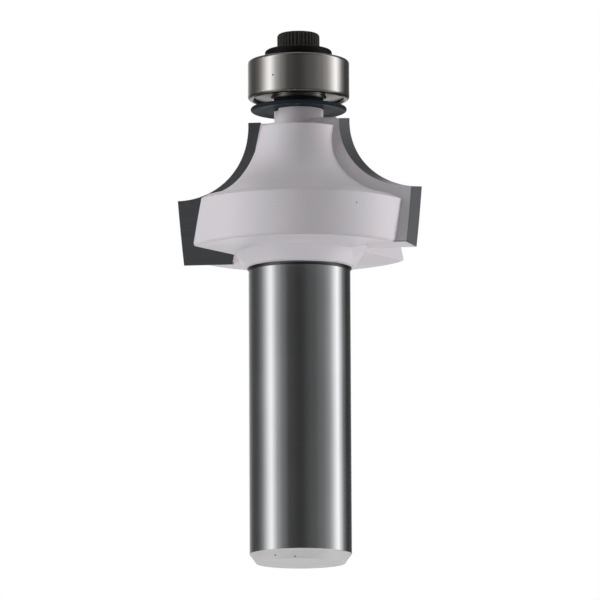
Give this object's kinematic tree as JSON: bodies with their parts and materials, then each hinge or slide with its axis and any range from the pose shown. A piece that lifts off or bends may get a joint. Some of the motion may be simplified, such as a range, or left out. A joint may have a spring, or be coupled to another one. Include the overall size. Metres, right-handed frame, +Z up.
{
  "type": "router bit",
  "caption": "Two-flute round-over router bit with brazed carbide tips, a guide bearing on a short neck and a straight shank.",
  "frame": {"origin": "centre of the flat end of the shank, which the bit stands on", "axes": "+Z up the bit's axis towards the guide bearing, +X parallel to the cutting faces' level lines"},
  "size_m": [0.0314, 0.029, 0.0666],
  "materials": {
    "head_coat": "pale grey coat on the head and neck, ground bright steel on the shank",
    "carbide": "diamond-ground tungsten carbide",
    "bearing_steel": "ground and polished bearing steel",
    "cage_steel": "pressed strip",
    "shield_steel": "pressed sheet",
    "blued_steel": "dark blued sheet steel",
    "black_oxide": "black oxide"
  },
  "bodies": {
    "bit": {"bit_body": "head_coat", "carbide_tip_1": "carbide", "carbide_tip_2": "carbide", "dust_shield": "blued_steel", "bearing_inner_ring": "bearing_steel", "bearing_washer": "black_oxide", "bearing_screw": "black_oxide"},
    "bearing_rim": {"bearing_outer_ring": "bearing_steel", "bearing_shield_lower": "shield_steel", "bearing_shield_upper": "shield_steel", "shield_snap_ring_lower": "shield_steel", "shield_snap_ring_upper": "shield_steel"},
    "ball_cage": {"bearing_cage_lower": "cage_steel", "bearing_cage_upper": "cage_steel"},
    "ball_1": {"bearing_ball_1": "bearing_steel"},
    "ball_2": {"bearing_ball_2": "bearing_steel"},
    "ball_3": {"bearing_ball_3": "bearing_steel"},
    "ball_4": {"bearing_ball_4": "bearing_steel"},
    "ball_5": {"bearing_ball_5": "bearing_steel"},
    "ball_6": {"bearing_ball_6": "bearing_steel"},
    "ball_7": {"bearing_ball_7": "bearing_steel"}
  },
  "joints": [
    {"name": "bearing_spin", "type": "hinge", "parent": "bit", "child": "bearing_rim", "pos_m": [0, 0, 0.06069], "axis": [0, 0, 1], "continuous": true},
    {"name": "cage_spin", "type": "hinge", "parent": "bit", "child": "ball_cage", "pos_m": [0, 0, 0.06069], "axis": [0, 0, 1], "continuous": true},
    {"name": "ball_roll_1", "type": "hinge", "parent": "ball_cage", "child": "ball_1", "pos_m": [0.00436, 0, 0.06069], "axis": [0, 0, 1], "continuous": true},
    {"name": "ball_roll_2", "type": "hinge", "parent": "ball_cage", "child": "ball_2", "pos_m": [0.00272, 0.00341, 0.06069], "axis": [0, 0, 1], "continuous": true},
    {"name": "ball_roll_3", "type": "hinge", "parent": "ball_cage", "child": "ball_3", "pos_m": [-0.00097, 0.00426, 0.06069], "axis": [0, 0, 1], "continuous": true},
    {"name": "ball_roll_4", "type": "hinge", "parent": "ball_cage", "child": "ball_4", "pos_m": [-0.00393, 0.00189, 0.06069], "axis": [0, 0, 1], "continuous": true},
    {"name": "ball_roll_5", "type": "hinge", "parent": "ball_cage", "child": "ball_5", "pos_m": [-0.00393, -0.00189, 0.06069], "axis": [0, 0, 1], "continuous": true},
    {"name": "ball_roll_6", "type": "hinge", "parent": "ball_cage", "child": "ball_6", "pos_m": [-0.00097, -0.00426, 0.06069], "axis": [0, 0, 1], "continuous": true},
    {"name": "ball_roll_7", "type": "hinge", "parent": "ball_cage", "child": "ball_7", "pos_m": [0.00272, -0.00341, 0.06069], "axis": [0, 0, 1], "continuous": true}
  ],
  "couplings": [
    {"joint": "cage_spin", "follows": "bearing_spin", "ratio": 0.6363},
    {"joint": "ball_roll_1", "follows": "bearing_spin", "ratio": 1.6977},
    {"joint": "ball_roll_2", "follows": "bearing_spin", "ratio": 1.6977},
    {"joint": "ball_roll_3", "follows": "bearing_spin", "ratio": 1.6977},
    {"joint": "ball_roll_4", "follows": "bearing_spin", "ratio": 1.6977},
    {"joint": "ball_roll_5", "follows": "bearing_spin", "ratio": 1.6977},
    {"joint": "ball_roll_6", "follows": "bearing_spin", "ratio": 1.6977},
    {"joint": "ball_roll_7", "follows": "bearing_spin", "ratio": 1.6977}
  ]
}
